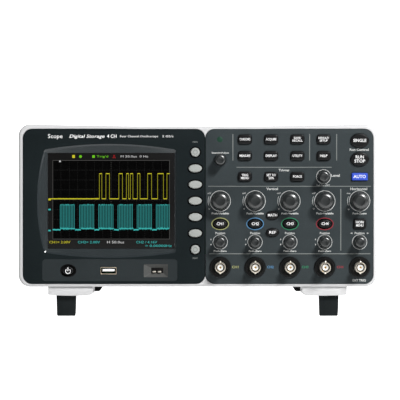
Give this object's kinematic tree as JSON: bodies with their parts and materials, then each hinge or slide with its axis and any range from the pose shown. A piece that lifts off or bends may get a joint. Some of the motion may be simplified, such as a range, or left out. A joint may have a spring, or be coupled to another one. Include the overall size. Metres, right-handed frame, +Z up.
{
  "type": "oscilloscope",
  "caption": "Bench oscilloscope with a display, keys, turning knobs, input sockets and fold-out front legs under a moulded case.",
  "frame": {"origin": "on the bench under the centre of the bounding box", "axes": "+X to the right of someone facing the screen, -Y towards them, +Z up"},
  "size_m": [0.326, 0.152, 0.1731],
  "materials": {
    "case_white": "fine satin moulding",
    "case_rear": "fine texture",
    "fascia_screen": "satin, blue black",
    "fascia_control": "satin, dark grey",
    "window": "clear over a dark display",
    "module": "plain sheet",
    "key_black": "satin",
    "key_grey": "matt rubber",
    "key_blue": "satin blue",
    "knob": "fine matt",
    "socket_metal": "nickel plate",
    "board": "green resist",
    "sheet_metal": "zinc plate",
    "supply_board": "brown laminate",
    "fan_black": "satin",
    "inlet_black": "satin",
    "leg_black": "matt",
    "foot_rubber": "matt"
  },
  "bodies": {
    "case": {"front_frame": "case_white", "rear_case": "case_rear", "screen_fascia": "fascia_screen", "control_fascia": "fascia_control", "display_window": "window", "lcd_module": "module", "input_sockets": "socket_metal", "port_board": "board", "key_board": "board", "main_board": "board", "power_supply": "supply_board", "chassis": "sheet_metal", "fan_frame": "fan_black", "mains_inlet": "inlet_black", "rear_foot_left": "foot_rubber", "rear_foot_right": "foot_rubber"},
    "leg_left": {"leg_left": "leg_black"},
    "leg_right": {"leg_right": "leg_black"},
    "adjust_knob": {"adjust_knob": "knob"},
    "trigger_level_knob": {"trigger_level_knob": "knob"},
    "volts_knob_1": {"volts_knob_1": "knob"},
    "volts_knob_2": {"volts_knob_2": "knob"},
    "volts_knob_3": {"volts_knob_3": "knob"},
    "volts_knob_4": {"volts_knob_4": "knob"},
    "timebase_knob": {"timebase_knob": "knob"},
    "position_knob_1": {"position_knob_1": "knob"},
    "position_knob_2": {"position_knob_2": "knob"},
    "position_knob_3": {"position_knob_3": "knob"},
    "position_knob_4": {"position_knob_4": "knob"},
    "horizontal_position_knob": {"horizontal_position_knob": "knob"},
    "power_key": {"power_key": "key_black"},
    "option_key_3": {"option_key_3": "key_grey"},
    "menu_on_off_key": {"menu_on_off_key": "key_grey"},
    "cursors_key": {"cursors_key": "key_black"},
    "single_key": {"single_key": "key_black"},
    "run_stop_key": {"run_stop_key": "key_black"},
    "auto_key": {"auto_key": "key_blue"},
    "channel_1_key": {"channel_1_key": "key_black"},
    "math_key": {"math_key": "key_black"},
    "horizontal_menu_key": {"horizontal_menu_key": "key_black"},
    "force_key": {"force_key": "key_black"},
    "print_key": {"print_key": "key_grey"},
    "option_key_1": {"option_key_1": "key_grey"},
    "option_key_2": {"option_key_2": "key_grey"},
    "option_key_4": {"option_key_4": "key_grey"},
    "option_key_5": {"option_key_5": "key_grey"},
    "acquire_key": {"acquire_key": "key_black"},
    "save_recall_key": {"save_recall_key": "key_black"},
    "default_setup_key": {"default_setup_key": "key_black"},
    "measure_key": {"measure_key": "key_black"},
    "display_key": {"display_key": "key_black"},
    "utility_key": {"utility_key": "key_black"},
    "help_key": {"help_key": "key_black"},
    "trigger_menu_key": {"trigger_menu_key": "key_black"},
    "set_to_half_key": {"set_to_half_key": "key_black"},
    "channel_2_key": {"channel_2_key": "key_black"},
    "channel_3_key": {"channel_3_key": "key_black"},
    "channel_4_key": {"channel_4_key": "key_black"},
    "reference_key": {"reference_key": "key_black"},
    "fan_rotor": {"fan_rotor": "fan_black"}
  },
  "joints": [
    {"name": "leg_left_fold", "type": "hinge", "parent": "case", "child": "leg_left", "pos_m": [-0.1199, -0.05676, 0.02192], "axis": [1, 0, 0], "range_deg": [0, 90]},
    {"name": "leg_right_fold", "type": "hinge", "parent": "case", "child": "leg_right", "pos_m": [0.1199, -0.05676, 0.02192], "axis": [1, 0, 0], "range_deg": [0, 90]},
    {"name": "adjust_knob_turn", "type": "hinge", "parent": "case", "child": "adjust_knob", "pos_m": [0.0207, -0.04507, 0.1414], "axis": [0, -0.9831, 0.1832], "continuous": true},
    {"name": "trigger_level_knob_turn", "type": "hinge", "parent": "case", "child": "trigger_level_knob", "pos_m": [0.1147, -0.04786, 0.12646], "axis": [0, -0.9831, 0.1832], "continuous": true},
    {"name": "volts_knob_1_turn", "type": "hinge", "parent": "case", "child": "volts_knob_1", "pos_m": [0.0207, -0.05191, 0.10473], "axis": [0, -0.9831, 0.1832], "continuous": true},
    {"name": "volts_knob_2_turn", "type": "hinge", "parent": "case", "child": "volts_knob_2", "pos_m": [0.0524, -0.05191, 0.10473], "axis": [0, -0.9831, 0.1832], "continuous": true},
    {"name": "volts_knob_3_turn", "type": "hinge", "parent": "case", "child": "volts_knob_3", "pos_m": [0.0841, -0.05191, 0.10473], "axis": [0, -0.9831, 0.1832], "continuous": true},
    {"name": "volts_knob_4_turn", "type": "hinge", "parent": "case", "child": "volts_knob_4", "pos_m": [0.1158, -0.05191, 0.10473], "axis": [0, -0.9831, 0.1832], "continuous": true},
    {"name": "timebase_knob_turn", "type": "hinge", "parent": "case", "child": "timebase_knob", "pos_m": [0.1475, -0.05191, 0.10473], "axis": [0, -0.9831, 0.1832], "continuous": true},
    {"name": "position_knob_1_turn", "type": "hinge", "parent": "case", "child": "position_knob_1", "pos_m": [0.0207, -0.05874, 0.06807], "axis": [0, -0.9831, 0.1832], "continuous": true},
    {"name": "position_knob_2_turn", "type": "hinge", "parent": "case", "child": "position_knob_2", "pos_m": [0.0524, -0.05874, 0.06807], "axis": [0, -0.9831, 0.1832], "continuous": true},
    {"name": "position_knob_3_turn", "type": "hinge", "parent": "case", "child": "position_knob_3", "pos_m": [0.0841, -0.05874, 0.06807], "axis": [0, -0.9831, 0.1832], "continuous": true},
    {"name": "position_knob_4_turn", "type": "hinge", "parent": "case", "child": "position_knob_4", "pos_m": [0.1158, -0.05874, 0.06807], "axis": [0, -0.9831, 0.1832], "continuous": true},
    {"name": "horizontal_position_knob_turn", "type": "hinge", "parent": "case", "child": "horizontal_position_knob", "pos_m": [0.1475, -0.05874, 0.06807], "axis": [0, -0.9831, 0.1832], "continuous": true},
    {"name": "power_key_press", "type": "slide", "parent": "case", "child": "power_key", "axis": [0, 0.9831, -0.1832], "range_m": [0, 0.001], "stiffness_N_per_m": 400},
    {"name": "option_key_3_press", "type": "slide", "parent": "case", "child": "option_key_3", "axis": [0, 0.9831, -0.1832], "range_m": [0, 0.001], "stiffness_N_per_m": 400},
    {"name": "menu_on_off_key_press", "type": "slide", "parent": "case", "child": "menu_on_off_key", "axis": [0, 0.9831, -0.1832], "range_m": [0, 0.001], "stiffness_N_per_m": 400},
    {"name": "cursors_key_press", "type": "slide", "parent": "case", "child": "cursors_key", "axis": [0, 0.9831, -0.1832], "range_m": [0, 0.001], "stiffness_N_per_m": 400},
    {"name": "single_key_press", "type": "slide", "parent": "case", "child": "single_key", "axis": [0, 0.9831, -0.1832], "range_m": [0, 0.001], "stiffness_N_per_m": 400},
    {"name": "run_stop_key_press", "type": "slide", "parent": "case", "child": "run_stop_key", "axis": [0, 0.9831, -0.1832], "range_m": [0, 0.001], "stiffness_N_per_m": 400},
    {"name": "auto_key_press", "type": "slide", "parent": "case", "child": "auto_key", "axis": [0, 0.9831, -0.1832], "range_m": [0, 0.001], "stiffness_N_per_m": 400},
    {"name": "channel_1_key_press", "type": "slide", "parent": "case", "child": "channel_1_key", "axis": [0, 0.9831, -0.1832], "range_m": [0, 0.001], "stiffness_N_per_m": 400},
    {"name": "math_key_press", "type": "slide", "parent": "case", "child": "math_key", "axis": [0, 0.9831, -0.1832], "range_m": [0, 0.001], "stiffness_N_per_m": 400},
    {"name": "horizontal_menu_key_press", "type": "slide", "parent": "case", "child": "horizontal_menu_key", "axis": [0, 0.9831, -0.1832], "range_m": [0, 0.001], "stiffness_N_per_m": 400},
    {"name": "force_key_press", "type": "slide", "parent": "case", "child": "force_key", "axis": [0, 0.9831, -0.1832], "range_m": [0, 0.001], "stiffness_N_per_m": 400},
    {"name": "print_key_press", "type": "slide", "parent": "case", "child": "print_key", "axis": [0, 0.9831, -0.1832], "range_m": [0, 0.001], "stiffness_N_per_m": 400},
    {"name": "option_key_1_press", "type": "slide", "parent": "case", "child": "option_key_1", "axis": [0, 0.9831, -0.1832], "range_m": [0, 0.001], "stiffness_N_per_m": 400},
    {"name": "option_key_2_press", "type": "slide", "parent": "case", "child": "option_key_2", "axis": [0, 0.9831, -0.1832], "range_m": [0, 0.001], "stiffness_N_per_m": 400},
    {"name": "option_key_4_press", "type": "slide", "parent": "case", "child": "option_key_4", "axis": [0, 0.9831, -0.1832], "range_m": [0, 0.001], "stiffness_N_per_m": 400},
    {"name": "option_key_5_press", "type": "slide", "parent": "case", "child": "option_key_5", "axis": [0, 0.9831, -0.1832], "range_m": [0, 0.001], "stiffness_N_per_m": 400},
    {"name": "acquire_key_press", "type": "slide", "parent": "case", "child": "acquire_key", "axis": [0, 0.9831, -0.1832], "range_m": [0, 0.001], "stiffness_N_per_m": 400},
    {"name": "save_recall_key_press", "type": "slide", "parent": "case", "child": "save_recall_key", "axis": [0, 0.9831, -0.1832], "range_m": [0, 0.001], "stiffness_N_per_m": 400},
    {"name": "default_setup_key_press", "type": "slide", "parent": "case", "child": "default_setup_key", "axis": [0, 0.9831, -0.1832], "range_m": [0, 0.001], "stiffness_N_per_m": 400},
    {"name": "measure_key_press", "type": "slide", "parent": "case", "child": "measure_key", "axis": [0, 0.9831, -0.1832], "range_m": [0, 0.001], "stiffness_N_per_m": 400},
    {"name": "display_key_press", "type": "slide", "parent": "case", "child": "display_key", "axis": [0, 0.9831, -0.1832], "range_m": [0, 0.001], "stiffness_N_per_m": 400},
    {"name": "utility_key_press", "type": "slide", "parent": "case", "child": "utility_key", "axis": [0, 0.9831, -0.1832], "range_m": [0, 0.001], "stiffness_N_per_m": 400},
    {"name": "help_key_press", "type": "slide", "parent": "case", "child": "help_key", "axis": [0, 0.9831, -0.1832], "range_m": [0, 0.001], "stiffness_N_per_m": 400},
    {"name": "trigger_menu_key_press", "type": "slide", "parent": "case", "child": "trigger_menu_key", "axis": [0, 0.9831, -0.1832], "range_m": [0, 0.001], "stiffness_N_per_m": 400},
    {"name": "set_to_half_key_press", "type": "slide", "parent": "case", "child": "set_to_half_key", "axis": [0, 0.9831, -0.1832], "range_m": [0, 0.001], "stiffness_N_per_m": 400},
    {"name": "channel_2_key_press", "type": "slide", "parent": "case", "child": "channel_2_key", "axis": [0, 0.9831, -0.1832], "range_m": [0, 0.001], "stiffness_N_per_m": 400},
    {"name": "channel_3_key_press", "type": "slide", "parent": "case", "child": "channel_3_key", "axis": [0, 0.9831, -0.1832], "range_m": [0, 0.001], "stiffness_N_per_m": 400},
    {"name": "channel_4_key_press", "type": "slide", "parent": "case", "child": "channel_4_key", "axis": [0, 0.9831, -0.1832], "range_m": [0, 0.001], "stiffness_N_per_m": 400},
    {"name": "reference_key_press", "type": "slide", "parent": "case", "child": "reference_key", "axis": [0, 0.9831, -0.1832], "range_m": [0, 0.001], "stiffness_N_per_m": 400},
    {"name": "fan_rotor_spin", "type": "hinge", "parent": "case", "child": "fan_rotor", "pos_m": [0.098, 0.0546, 0.08072], "axis": [0, -0.9831, 0.1832], "continuous": true}
  ]
}
